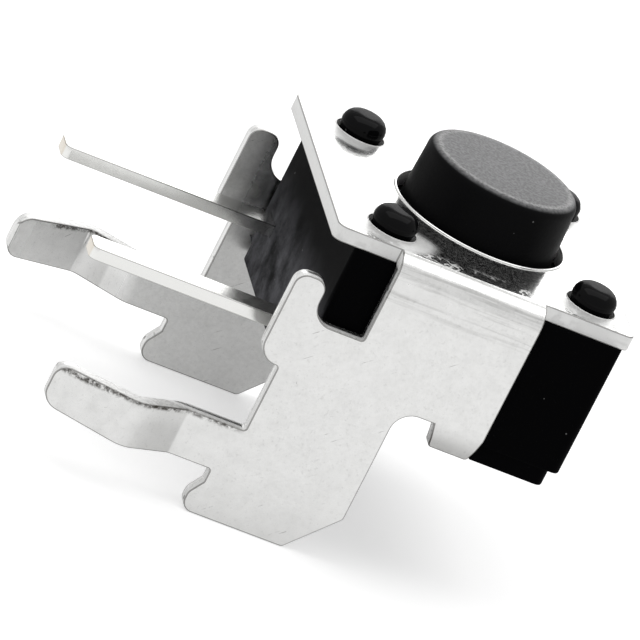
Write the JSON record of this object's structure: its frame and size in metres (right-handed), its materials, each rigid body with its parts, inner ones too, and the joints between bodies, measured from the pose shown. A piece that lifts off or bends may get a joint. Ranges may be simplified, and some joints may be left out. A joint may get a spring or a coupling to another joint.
{
  "type": "pushbutton",
  "caption": "Side-push tactile pushbutton for a circuit board: a round button in a moulded base, held by a folded bracket with kinked snap-in legs.",
  "frame": {"origin": "middle between the two terminals, on the face of the circuit board", "axes": "+X away from the board, so the pins point along -X; +Z the way the button faces; the wings of the bracket lie at -Y and +Y"},
  "size_m": [0.0098, 0.0078, 0.0072],
  "materials": {
    "tinned_sheet": "bright tin plate with fine scuffs",
    "base_plastic": "moulded, fine grain",
    "button_plastic": "moulded, matt top",
    "dome_steel": "bright spring steel",
    "terminal_metal": "silver plate with bare cut ends"
  },
  "bodies": {
    "switch_body": {"bracket_cover": "tinned_sheet", "base": "base_plastic", "snap_dome": "dome_steel", "rim_terminal": "terminal_metal", "centre_terminal": "terminal_metal"},
    "button": {"button": "button_plastic"}
  },
  "joints": [
    {"name": "button_press", "type": "slide", "parent": "switch_body", "child": "button", "axis": [0, 0, -1], "range_m": [0, 0.00025], "stiffness_N_per_m": 6400, "deforming": ["snap_dome"]}
  ]
}
